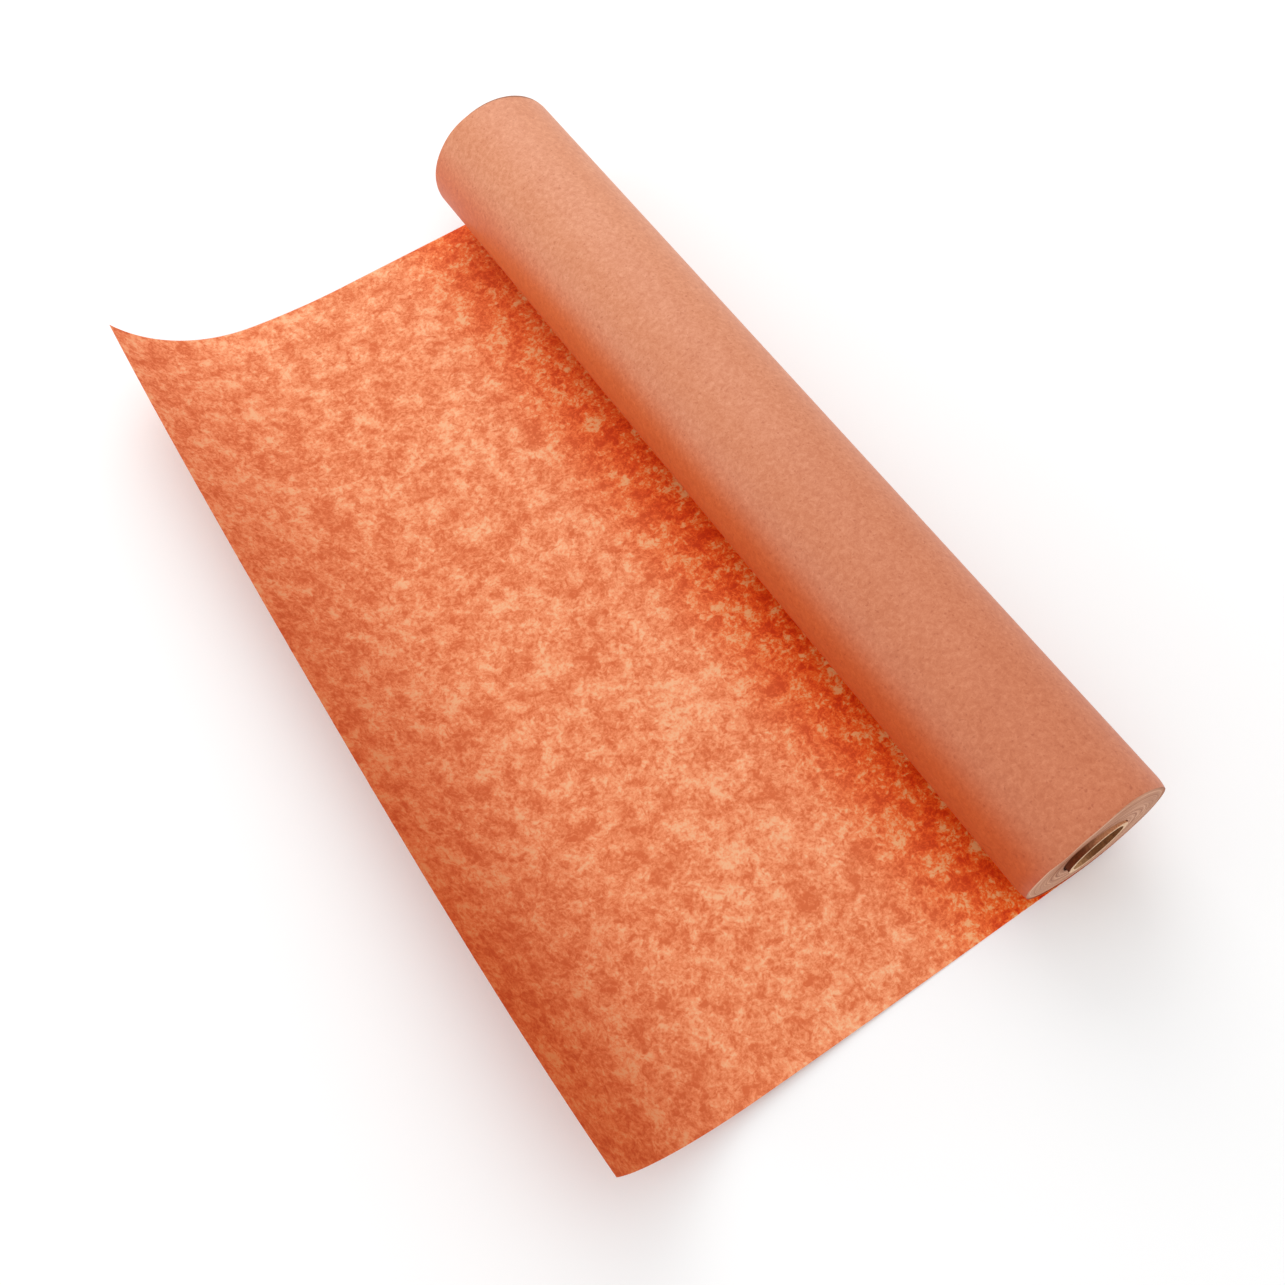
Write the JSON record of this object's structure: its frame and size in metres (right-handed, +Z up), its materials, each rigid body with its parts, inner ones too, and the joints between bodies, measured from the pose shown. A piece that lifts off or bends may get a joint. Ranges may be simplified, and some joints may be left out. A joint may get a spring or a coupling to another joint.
{
  "type": "paper roll",
  "caption": "Long slim roll of copper-coloured fibrous paper on a thin paperboard core, lying flat with its free end drawn out from under it and curling up.",
  "frame": {"origin": "centre of the core's bore, at the middle of its length", "axes": "+Y along the roll's axis, +Z up from the table, and the free end of the web towards -X"},
  "size_m": [0.2582, 0.4592, 0.07],
  "materials": {
    "web_inner_face": "matte",
    "web_outer_face": "matte",
    "web_edges": "matte",
    "start_adhesive": "satin",
    "core_board": "matte",
    "core_liner": "matte"
  },
  "bodies": {
    "laid_out_sheet": {"unrolled_sheet": "web_inner_face"},
    "leaving_turn": {"web_lead": "web_inner_face", "outer_turn": "web_outer_face"},
    "roll": {"wound_web": "web_edges", "start_glue_line": "start_adhesive", "core_liner_ply": "core_liner", "core_inner_body_ply": "core_board", "core_outer_body_ply": "core_board", "core_face_ply": "core_board"}
  },
  "joints": [
    {"name": "roll_travel", "type": "slide", "parent": "laid_out_sheet", "child": "leaving_turn", "axis": [1, 0, 0], "range_m": [-0.04, 0.11]},
    {"name": "roll_turn", "type": "hinge", "parent": "leaving_turn", "child": "roll", "pos_m": [0, 0, 0], "axis": [0, 1, 0], "range_deg": [-66, 181]}
  ],
  "couplings": [
    {"joint": "roll_turn", "follows": "roll_travel", "rad_per_m": 28.571}
  ]
}
